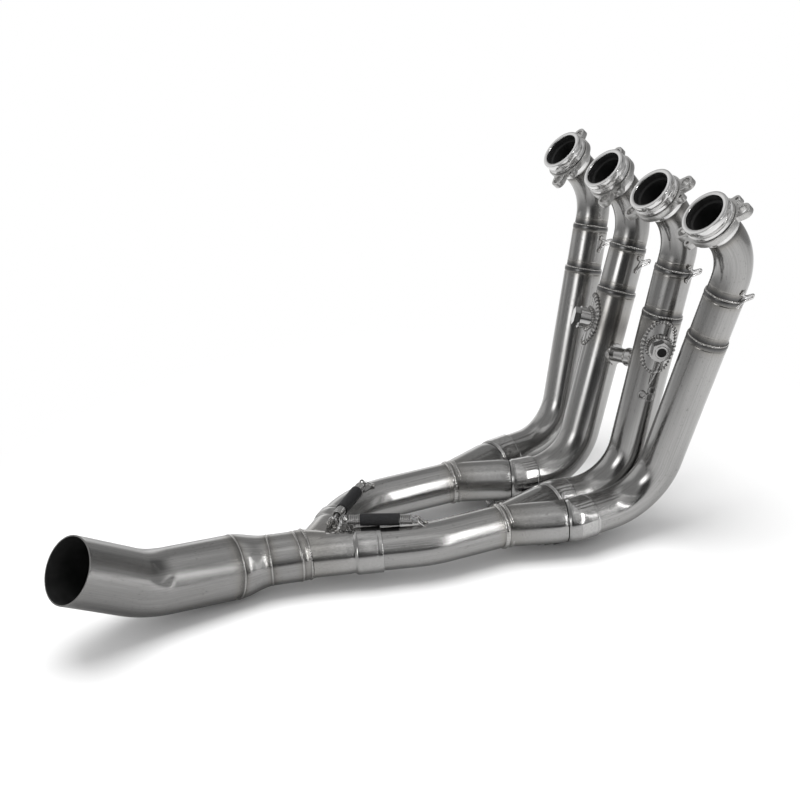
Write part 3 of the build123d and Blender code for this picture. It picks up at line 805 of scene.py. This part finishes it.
def merge_cone(less, name):
    """The short cone into the throat, from the branches' size to the throat's."""
    first = throat_start + mm(20, -6, 0.5)
    u = np.linspace(0, 1, 9)
    centres = first + u[:, None] * (throat_start - first)
    r = second_r + (throat_r - second_r) * u - less
    if less:
        centres, r = np.vstack([centres, centres[-1:] + back_way * 2 * MM]), np.concatenate([r, r[-1:]])
    return solid_tube(name, centres, r, np.tile(back_way, (len(r), 1)))


outers, inners = ([merge_branch(near_corner, way_near, run_near, rear_near, less, "near_part"),
                   merge_branch(far_corner, way_far, run_far, rear_far, less, "far_part"),
                   merge_cone(less, "cone_part")] for less in (0, wall))
# what the branches overshoot behind the throat plane is cut away with a block
block = solid_tube("end_block", np.array([throat_start, throat_start + back_way * 60 * MM]), mm(60, 60),
                   np.array([back_way, back_way]), around=24)
joined("last_merge_y", outers, inners + [block], [merge_steel], "last_merge", (throat_start, 34 * MM, 0.6))

# %% [markdown]
# ## Secondary pipes, throat, flare and outlet
# These are plain bent tubes again, apart from the flare, whose radius grows from the throat's to
# the outlet's. The same strip makes them all, lying on its side: the reference direction is now Z.

# %% Pipes of the lower run
for name, start, corner, way, rear, bend in (
    ("near", near_end, near_corner, way_near, rear_near * run_near, near_bend),
    ("far", far_end, far_corner, way_far, rear_far * run_far, far_bend),
):
    carried_tube(f"{name}_second_tube", [start, corner, corner + way * rear], bend, second_r,
                 f"{name}_secondary", z_way, heats=[(0, 9 * MM, 0.7)], around=112)
band_length = 9.5 * MM
throat_ring_end = throat_start + back_way * band_length
carried_tube("throat_band", [throat_start, throat_ring_end], 0, throat_r, "throat_ring", z_way, around=112,
             heats=[(0, 4 * MM, 0.6), (band_length, 4 * MM, 0.6)], extra=[mm(5, 2.4, 0.25)], spacing=1 * MM)
throat_way, outlet_way = unit(throat_end - throat_start), unit(outlet_corner - flare_end)


def cone_tube(name, a, b, way_a, way_b, r_a, r_b, node, heats, half=30, around=112):
    """A tube between two circles, its direction and radius easing from one to the other."""
    u = np.linspace(0, 1, half)
    u = np.concatenate([u, u[::-1]])
    radii = r_a + (r_b - r_a) * u * u * (3 - 2 * u) - np.where(np.arange(2 * half) < half, 0, wall)
    ways = unit(way_a + (way_b - way_a) * u[:, None])
    points = rings(a + (b - a) * u[:, None], radii, *sides(ways, z_way), around)
    tube_piece(name, points, u * np.linalg.norm(b - a), r_a, heats, half, node)


cone_tube("throat_tube", throat_ring_end, throat_end, back_way, throat_way, throat_r, throat_r, "throat_pipe",
          [(0, 4 * MM, 0.5), (26 * MM, 5 * MM, 0.6)])
cone_tube("flare_cone", throat_end, flare_end, throat_way, outlet_way, throat_r, outlet_r, "flare",
          [(0, 5 * MM, 0.6), (35 * MM, 5 * MM, 0.6)])
carried_tube("outlet_tube", [flare_end, outlet_corner, outlet_end], outlet_bend, outlet_r, "outlet_pipe",
             heats=[(0, 8 * MM, 0.7)], around=128)

# %% Beads of the lower run
for side, offset in (("a", -3.1), ("b", 3.1)):
    for name, end in (("near", near_end), ("far", far_end)):
        ring_bead(f"{name}_end_bead_{side}", end + back_way * (offset - 1.0) * MM, back_way,
                  second_r - 0.1 * MM, 5.6 * MM, 1.7 * MM, 40, seed=len(name) + offset, wave=0.06)
for name, spot, way, radius, width, height, ripples, seed, wave in (
    ("throat_bead_front", throat_start + back_way * 0.4 * MM, back_way, throat_r, 2.6, 0.8, 60, 3, 0.10),
    ("throat_bead_back", throat_ring_end, back_way, throat_r, 2.2, 0.5, 60, 5, 0.08),
    ("flare_bead_front", throat_end, throat_way, throat_r, 1.8, 0.45, 70, 7, 0.08),
    ("flare_bead_back", flare_end, outlet_way, outlet_r, 1.8, 0.45, 80, 8, 0.08),
):
    ring_bead(name, spot, way, radius, width * MM, height * MM, ripples, seed, wave)
print("beads on the lower run: 8")


# %% [markdown]
# ## Wire
# Springs, hooks and lugs are all round wire carried along a line that turns in space. A fixed
# reference direction would twist or fail there, so the section is carried along by the smallest
# turn from one point to the next.

# %% Wire along any line
def steady_sides(p):
    """Directions, and a side direction carried along them by the smallest turn at each point."""
    t = unit(np.gradient(p, axis=0))
    n = np.empty_like(t)
    n[0] = sides(t[0], z_way if abs(t[0, 2]) < 0.8 else -back_way)[0]
    for i in range(1, len(t)):
        side = n[i - 1] - (n[i - 1] @ t[i]) * t[i]
        n[i] = side / np.linalg.norm(side)
    return t, n, np.cross(t, n)


def wire(name, lines, radius, coat, node=None, around=12):
    """Round wire along one or more lines of points, with rounded ends, as one mesh."""
    all_points, all_faces, count = [], [], 0
    ease, pad = np.array([0.999, 0.92, 0.7, 0.38]), radius * np.array([0.0, 0.39, 0.71, 0.92])
    for p in lines:
        t, n, b = steady_sides(p)
        p = np.vstack([p[0] - pad[::-1, None] * t[0], p[1:-1], p[-1] + pad[:, None] * t[-1]])
        r = np.concatenate([radius * ease[::-1], np.full(len(p) - 8, radius), radius * ease])
        n, b = (np.vstack([np.repeat(v[:1], 4, 0), v[1:-1], np.repeat(v[-1:], 4, 0)]) for v in (n, b))
        all_points.append(rings(p, r, n, b, around).reshape(-1, 3))
        all_faces += capped_faces(len(p), around, count)
        count += len(p) * around
    piece = make_piece(name, np.vstack(all_points), all_faces, [coat], sharp=60)
    if node:
        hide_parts(node)


def soft_line(points, count=70, rounds=5):
    """A line through corners, evenly resampled and then averaged with its neighbours to round it."""
    p = np.asarray(points, float)
    for _ in range(rounds):
        gap = np.concatenate([[0], np.cumsum(np.linalg.norm(np.diff(p, axis=0), axis=1))])
        even = np.linspace(0, gap[-1], count)
        p = np.stack([np.interp(even, gap, p[:, i]) for i in range(3)], -1)
        p[1:-1] = (p[:-2] + 2 * p[1:-1] + p[2:]) / 4
    return p


# %% [markdown]
# ## Springs, sleeves and lugs
# Six springs hold the slip joints shut. Each is a close wound coil with a loop at each end, half
# hidden in a piece of rubber hose, and each loop hangs on a hairpin of wire that is welded to a
# pipe. The coil is a helix: a point goes round at a steady rate while it moves along.

# %% Where each spring lies
spring_height, spring_reach = 6 * MM, (cup_r + 6.5 * MM)
lean_of_4 = mm(20.0, 13.2)
spring_front, spring_back = 17 * MM, 42.5 * MM
bar_reach, lug_half, ring_r, coil_r, coil_wire = 5.2 * MM, 3.6 * MM, 4 * MM, 5 * MM, 1.8 * MM
foot_reach = bar_reach + 5 * MM


def under(k, x, which):
    """Point on the line of the spring under a slip cup, at a place along X: its back or front end."""
    way, end = run_of(k)[1], routes[k][2]
    along = end + way * ((x - end[0]) / way[0])
    lean = lean_of_4[which] if k == 4 else max(0.0, spring_reach**2 - (along[2] - spring_height) ** 2) ** 0.5
    return np.array([x, along[1] + lean, spring_height])


def line_point(corners, radius, x):
    """Point and direction of a bent line where it passes a place along X."""
    total, at = bent_line(corners, radius)
    p, t = at(np.linspace(0, total, 4001))
    i = np.abs(p[:, 0] - x).argmin()
    return p[i], t[i]


springs = {}
for k, (_, corner, end) in routes.items():
    ends = under(k, mouth_x[k] - spring_back, 0), under(k, mouth_x[k] + spring_front, 1)
    root = mouth(k) + run_of(k)[1] * cup_length
    outlet = near_end if k > 2 else far_end
    part = (ends[0][0] - foot_reach - root[0]) / (outlet[0] - root[0])
    top, way = leg(k)
    front_foot = line_point([top + way * step_to, corner, end], lower_bend, ends[1][0] + foot_reach)
    back_foot = (root + (outlet - root) * part, unit(outlet - root), cup_r * (1 - part) + second_r * part)
    springs[f"cup_{k}"] = (ends, (back_foot, (*front_foot, lower_r)))
for name, ends, corner, way, start, meet, bend, back in (
    ("near", (mm(-312, -27, 60.5), mm(-255, -53, 60.5)), near_corner, way_near, near_end, near_meet,
     near_bend, 14 * MM),
    ("far", (mm(-319.5, -16.5, 61), mm(-277.5, 28.5, 61)), far_corner, way_far, far_end, far_meet,
     far_bend, 12 * MM),
):
    on_merge = corner + way * ((ends[0][0] - back - corner[0]) / way[0])
    on_pipe = line_point([start, corner, meet], bend, ends[1][0] + 11 * MM)
    springs[name] = (ends, ((on_merge, way, second_r), (*on_pipe, second_r)))


def lug_frame(name, end):
    """Foot and bar of a spring's lug at one end, and the direction along its bar."""
    ends, feet = springs[name]
    axis = unit(ends[1] - ends[0]) * (1 if end else -1)
    bar = ends[end] + axis * bar_reach
    centre, way, radius = feet[end]
    away = bar - centre
    away = unit(away - way * (away @ way))
    foot = centre + away * (radius - 0.9 * MM)
    return foot, bar, unit(np.cross(axis, bar - foot)), away


def hairpin(foot, bar, across):
    """The line of a lug: up one side, over the bar and down, its corners rounded."""
    half = across * lug_half
    total, at = bent_line([foot + half, bar + half, bar - half, foot - half], lug_half - 0.3 * MM)
    return at(np.linspace(0, total, 40))[0]


def coil_line(name):
    """Points of a spring: an end loop, the helix, and the other end loop, run together softly."""
    ends = springs[name][0]
    axis, length = unit(ends[1] - ends[0]), np.linalg.norm(ends[1] - ends[0])
    side = unit(np.cross(axis, lug_frame(name, 0)[2]))
    turns = int(length / (coil_wire * 1.04))
    a = np.linspace(0, 2 * pi * turns, turns * 22)[:, None]
    round_way = np.cos(a) * side + np.sin(a) * np.cross(axis, side)
    helix = ends[0] + a / a[-1] * length * axis + (coil_r - coil_wire / 2) * round_way
    b = np.linspace(-0.86 * pi, 0.74 * pi, 30)[:, None]
    loops = []
    for end, away in ((0, -axis), (1, axis)):
        side_way = np.cross(lug_frame(name, end)[2], away)
        centre = ends[end] + away * (ring_r - 0.4 * MM)
        loops.append(centre + ring_r * (np.cos(b) * away + np.sin(b) * side_way))
    return np.vstack([loops[0][::-1], helix[6:-6], loops[1]])


hose = [(-19.0, 5.05), (-19.0, 5.7), (-18.8, 5.9), (-18.4, 6.0)]
hose += [(x, 6.0) for x in np.linspace(-17, 17, 18)]
hose += [(18.4, 6.0), (18.8, 5.9), (19.0, 5.7), (19.0, 5.05)] + [(x, 5.0) for x in np.linspace(18, -18, 10)]
puddles = []
for name, (ends, _) in springs.items():
    wire(f"{name}_coil", [coil_line(name)], coil_wire / 2, coil_steel,
         f"{name}_spring", around=8)
    pins = []
    for end in (0, 1):
        foot, bar, across, away = lug_frame(name, end)
        pins.append(hairpin(foot, bar, across))
        puddles += [(foot + across * lug_half * way + away * 0.7 * MM, away) for way in (1, -1)]
    wire(f"{name}_lugs", pins, 1.3 * MM, wire_steel, around=14)
    sleeve = turned(f"{name}_hose", (ends[0] + ends[1]) / 2, hose, sleeve_rubber,
                    unit(ends[1] - ends[0]), z_way, around=48)
    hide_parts(f"{name}_spring_sleeve")
print("springs:", len(springs))

# %% [markdown]
# ## Hairpin hooks
# A bare hairpin of wire stands on the low side of each head pipe by its first step. Its two feet
# bend apart along the pipe and are welded down. The line is rounded by averaging each point with
# its neighbours, which is how a hand bends wire: no part is a true arc.

# %% Hooks on the head pipes
hook_along = {4: 39.0 * MM, 3: 43.0 * MM, 2: 58.0 * MM, 1: 60.0 * MM}
low_side = np.array([0.2, -0.98, 0])
for k in routes:
    top, way = leg(k)
    side = unit(low_side - way * (low_side @ way))
    radius = head_r if hook_along[k] < step_from else step_r
    base = top + way * hook_along[k] + side * (radius + 1.2 * MM)
    tip, knee, close = base + mm(13.6, 0, 1.5), base + mm(5, 0, 0.5), way * 2.0 * MM
    line = soft_line([base - way * 8 * MM, base - way * 5 * MM, knee - close * 1.1, tip - close * 0.9,
                      tip + close * 0.9, knee + close * 1.1, base + way * 5 * MM, base + way * 8 * MM])
    wire(f"hairpin_hook_{k}", [line], 1.3 * MM, wire_steel, f"wire_hook_{k}", around=14)
    puddles += [(line[foot] - side * 0.4 * MM, side) for foot in (3, -4)]


# %% Welds at the feet of the wires
def weld_puddles(name, spots, radius, height, rows=9, cols=20):
    """Low uneven domes: p + R * sin(v) * (cos a, sin a) + H * cos(v) * normal, R wavering with the angle."""
    p, up = (np.array(x) for x in zip(*spots))
    side = unit(np.cross(up, np.array([0.31, 0.52, 0.79])))
    other = np.cross(up, side)
    v, a = np.linspace(0.02, pi - 0.02, rows)[None, :, None], turn_points(cols)
    seed = np.arange(len(p))[:, None, None]
    waver = 1 + 0.14 * np.sin(2 * a + seed) + 0.10 * np.sin(5 * a + 2 * seed)
    flat = (radius * np.sin(v) * waver)[..., None]
    lift = (height * np.cos(v) * (1 + 0.1 * np.sin(3 * a + seed)))[..., None]
    p, up, side, other = (x[:, None, None] for x in (p, up, side, other))
    points = p + flat * (np.cos(a)[:, None] * side + np.sin(a)[:, None] * other) + lift * up
    one = rows * cols
    faces = [face[::-1] for i in range(len(p)) for face in capped_faces(rows, cols, i * one)]
    return make_piece(name, points, faces, [bead_steel],
                      marks={"weld_warmth": np.full(points.size // 3, 0.35)}, sharp=80)


welds = weld_puddles("foot_welds", puddles, 2.6 * MM, 1.1 * MM)
print("foot welds:", len(puddles), "in", len(welds.data.polygons), "faces")

# %% [markdown]
# ## Welds of the sensor bungs, and the lock wire
# Each bung stands on a saddle of sheet that is welded to the head pipe all round, by hand and not
# very evenly. A line on a round pipe is easy to write as places along it and round it, so the welds
# are wires whose thickness wavers, laid on the skin.

# %% Lines on a pipe's skin
bungs = {2: (124.5 * MM, np.array([-0.879, 0.409, 0.247])),
         3: (118.1 * MM, np.array([-0.404, -0.912, 0.077]))}


def on_skin(k, along, across, lift=0.0, facing_way=None):
    """Point on a head pipe: place along the leg, and distance across as an arc x = r * angle.

    The angle starts at facing_way, which is the side that the pipe's bung stands on if left out.
    """
    top, way = leg(k)
    n, side = sides(way, bungs[k][1] if facing_way is None else facing_way)
    along, a = (np.asarray(x, float)[..., None] for x in (along, across / lower_r))
    return top + along * way + (np.cos(a) * n + np.sin(a) * side) * (lower_r + lift)


def weld_line(name, line, radius, ripples, seed, around=12):
    """A bead along a closed line: a section of radius R * (1 + w * cos(n*t) + slow waves)."""
    t = unit(np.roll(line, -1, 0) - np.roll(line, 1, 0))
    u = turn_points(len(line))
    r = radius * (1 + 0.22 * np.cos(ripples * u) + 0.35 * np.sin(5 * u + seed) * np.sin(3 * u + 2 * seed))
    points = rings(line, r, *sides(t, np.array([0.31, 0.52, 0.79])), around)
    heat = 0.42 + 0.42 * np.cos(ripples * u)
    make_piece(name, points, grid_faces(len(line), around, ring=True), [bead_steel],
               marks={"weld_warmth": np.repeat(heat, around)}, sharp=80)


for k, (height, _) in bungs.items():
    a = turn_points(340)
    rim = on_skin(k, height + 26 * MM * np.cos(a), 15.9 * MM * np.sin(a), 0.5 * MM)
    weld_line(f"saddle_weld_{k}", rim, 2.1 * MM, 38, k)
    foot = on_skin(k, height + 11.4 * MM * np.cos(a), 11.6 * MM * np.sin(a), 1.7 * MM)
    weld_line(f"bung_weld_{k}", foot, 1.6 * MM, 30, k + 4.0)
plug_height, plug_way = bungs[3]
socket = [(0.6, 0.05), (0.6, 4.2), (0.0, 4.6), (0.0, 6.2), (0.3, 6.6), (0.9, 6.6), (0.9, 0.05)]
# the floor and wall of the socket take the black coat: painted shade in the recess
turned("plug_socket", on_skin(3, plug_height, 0.0, 17.8 * MM), socket, bung_steel,
       -unit(plug_way), row_way, around=72, dark=(0, 2))
print("bung welds: 4")

# %% Lock wire and its seal
wire_way = np.array([-0.43, -0.90, 0.08])
z = np.linspace(0, 1, 80)[:, None]
plug_top = on_skin(3, plug_height + 9 * MM, -1.5 * MM, 12 * MM)
seal_top = on_skin(3, 157 * MM, 0.0, 1.3 * MM, wire_way)
middle = plug_top + (seal_top - plug_top) * z - np.array([0.42, 0.9, 0]) * 2.5 * MM * np.sin(pi * z)
twist = []
for turn in (0.0, pi):
    a = 9 * 2 * pi * z + turn
    round_way = np.cos(a) * np.array([0.9, -0.42, 0]) + np.sin(a) * np.array([-0.42, -0.9, 0])
    twist.append(middle + 0.45 * MM * round_way)
wire("lock_wire", twist, 0.42 * MM, wire_steel, around=8)
b = np.linspace(0, 2 * pi * 0.97, 40)
petals = [on_skin(3, (x + 3.6 * np.cos(b + turn)) * MM, (y + 3.2 * np.sin(b + turn)) * MM, 1.1 * MM, wire_way)
          for x, y, turn in ((163.5, -4.6, 0.0), (171.0, -3.4, 1.2), (170.0, 3.8, 2.6))]
wire("seal_loops", petals, 1.0 * MM, coil_steel, around=10)
print("lock wire:", len(twist), "strands,", len(petals), "loops")

# %% Beads of the balance pipe
balance = {2: 156.0 * MM, 3: 168.0 * MM}
balance_ends = {k: leg(k)[0] + leg(k)[1] * ((h - leg(k)[0][2]) / leg(k)[1][2]) for k, h in balance.items()}
balance_way = unit(balance_ends[3] - balance_ends[2])
for name, spot, radius, width, height, seed, wave in (
    ("balance_bead_2", balance_ends[2] + balance_way * 21.4 * MM, 9.6, 3.4, 1.5, 4, 0.3),
    ("balance_bead_3", balance_ends[3] - balance_way * 21.6 * MM, 8.6, 2.6, 1.1, 6, 0.3),
    ("balance_clip", balance_ends[3] - balance_way * 30.5 * MM, 8.8, 2.2, 0.8, 6, 0.0),
):
    ring_bead(name, spot, balance_way, radius * MM, width * MM, height * MM, 16, seed, wave)
print("beads of the balance pipe: 3")

# %% [markdown]
# ## Sensor bungs and the balance pipe
# These small solids keep their shape from the frame and get their finish here. A solid without
# marks of its own reads plain Object coordinates for its grain.

# %% Finish of the small solids
kept = []
for node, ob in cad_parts.items():
    if ob.hide_render:
        continue
    coat = bung_steel if node.startswith(("bung_plug", "bung_2", "bung_3", "balance_collar")) else merge_steel
    for slot in ob.material_slots:
        slot.material = coat
    kept.append(node)
print("kept from the frame:", sorted(kept))

# %% [markdown]
# ## Floor and light
# The header stands on a white sweep in a studio with long lamps overhead. For matt things the
# light is plain and even. Bare steel shows its surroundings as a mirror does, so what it reflects
# has to hold the long bright bars and the dark gaps between them that the real room had.

# %% Floor
floor_mesh = bpy.data.meshes.new("floor")
u = np.linspace(-2.2, 2.2, 9)
gx, gy = np.meshgrid(u + 0.07, u, indexing="ij")
squares = [(i + j, i + j + 9, i + j + 10, i + j + 1) for i in range(0, 72, 9) for j in range(8)]
floor_mesh.from_pydata(np.stack([gx, gy, 0 * gx], -1).reshape(-1, 3).tolist(), [], squares)
floor = bpy.data.objects.new("floor", floor_mesh)
bpy.context.scene.collection.objects.link(floor)
paper, wires, shader = new_coat("white_sweep")
shader.inputs["Roughness"].default_value = 0.9
shader.inputs["Specular IOR Level"].default_value = 0.0
path = wires.add("ShaderNodeLightPath")
where = wires.add("ShaderNodeTexCoord").outputs["Object"]
spot = wires.add("ShaderNodeSeparateXYZ", {0: where})
# painted shade: the floor as the steel reflects it is darker than the floor itself, less so towards the
# ports, in place of the floor's shadow under the header
painted_shade_in_reflection = wires.mapped(spot.outputs["X"], -0.35, 0.45, 0.36, 0.90)
floor_base_with_painted_shade = wires.blended(path.outputs["Is Glossy Ray"], (0.93, 0.93, 0.93, 1), painted_shade_in_reflection)
wires.link(floor_base_with_painted_shade, shader.inputs["Base Color"])
away = wires.add("ShaderNodeVectorMath", {0: where, 1: (0.07, -0.02, 0.0)}, operation="DISTANCE")
far_off = wires.mapped(away.outputs["Value"], 0.36, 0.58, kind="SMOOTHSTEP")
seen = wires.number("MULTIPLY", path.outputs["Is Camera Ray"], far_off)
white = wires.add("ShaderNodeEmission")
mix = wires.add("ShaderNodeMixShader", {0: seen, 1: shader.outputs[0], 2: white.outputs[0]})
wires.link(mix.outputs[0], paper.node_tree.nodes["Material Output"].inputs["Surface"])
floor_mesh.materials.append(paper)


# %% The room that the steel reflects
world = bpy.data.worlds.new("studio")
bpy.context.scene.world = world
world.use_nodes = True
world.node_tree.nodes.clear()
wires = Wiring(world.node_tree)
number = wires.number
way_out = wires.add("ShaderNodeTexCoord").outputs["Generated"]


def facing(direction):
    """How far the looked-at direction lies along a given one."""
    node = wires.add("ShaderNodeVectorMath", {0: way_out, 1: tuple(unit(direction))}, operation="DOT_PRODUCT")
    return node.outputs["Value"]


def between(value, low, high, soft):
    """1 where a value is between two others, with soft edges."""
    rise = wires.mapped(value, low - soft, low + soft, kind="SMOOTHSTEP")
    return number("MULTIPLY", rise, wires.mapped(value, high - soft, high + soft, 1.0, 0.0, "SMOOTHSTEP"))


split = wires.add("ShaderNodeSeparateXYZ", {0: way_out}).outputs
azimuth = number("MULTIPLY", number("ARCTAN2", split["Y"], split["X"]), 180 / pi)
height = number("MULTIPLY", number("ARCSINE", split["Z"]), 180 / pi)
room = number("ADD", 0.36, 0.0)
# windows and dark places, by azimuth and height in degrees, the softness of their edges, and strength
for az, el, soft, strength in (
    ((-166, -147), (9, 31), 6, 3.1),
    ((-168, -145), (-8, 8), 6, 0.5),
    ((-140, -104), (-20, 26), 7, -0.38),
    ((-104, -74), (-26, 10), 6, -0.38),
    ((-94, -56), (28, 76), 8, 0.26),
    ((-56, -30), (25, 66), 8, 0.12),
    ((-110, 110), (58, 95), 10, 0.26),
    ((-14, 36), (14, 46), 8, -0.22),
    ((62, 98), (-22, 15), 8, 0.85),
    ((98, 142), (-15, 40), 10, 0.42),
):
    patch = number("MULTIPLY", between(azimuth, *az, soft), between(height, *el, soft))
    room = number("ADD", room, number("MULTIPLY", patch, strength))
near_side = between(number("MULTIPLY", split["Y"], -1.0), 0.05, 2.0, 0.2)
# long bars: square to a direction, half width, strength on the near side and elsewhere, heights
for upright, wide, bright, dim, band in (
    ((0.974, -0.225, 0.0), 0.022, 1.0, 0.1, (24, 80)),
    ((0.942, 0.223, -0.252), 0.017, 13.0, 0.0, (6, 50)),
    ((0.839, 0.545, 0.0), 0.014, 3.2, 0.0, (-4, 42)),
    ((0.602, 0.799, 0.0), 0.03, 0.8, 0.0, (10, 42)),
):
    strength = number("ADD", number("MULTIPLY", near_side, bright - dim), dim)
    bar = number("MULTIPLY", between(facing(upright), -wide, wide, wide * 0.5), strength)
    room = number("ADD", room, number("MULTIPLY", bar, between(height, *band, 7)))
room = number("MAXIMUM", room, 0.06)
ray = wires.add("ShaderNodeLightPath").outputs
plain = number("ADD", number("MULTIPLY", ray["Is Camera Ray"], 0.30), 0.70)
mixed = wires.add("ShaderNodeMix", {0: ray["Is Glossy Ray"], 2: plain, 3: room}, data_type="FLOAT")
background = wires.add("ShaderNodeBackground", {"Color": (1, 1, 1, 1), "Strength": mixed.outputs[0]})
wires.add("ShaderNodeOutputWorld", {"Surface": background.outputs[0]})
print("world nodes:", len(world.node_tree.nodes))

# %% A soft lamp overhead
lamp_data = bpy.data.lights.new("overhead_softbox", "AREA")
lamp_data.shape, lamp_data.size, lamp_data.size_y, lamp_data.energy = "RECTANGLE", 1.2, 1.0, 19.0
lamp = bpy.data.objects.new("overhead_softbox", lamp_data)
lamp.location = (-0.12, 0.05, 1.5)
lamp.visible_glossy = False
lamp.visible_camera = False
bpy.context.scene.collection.objects.link(lamp)
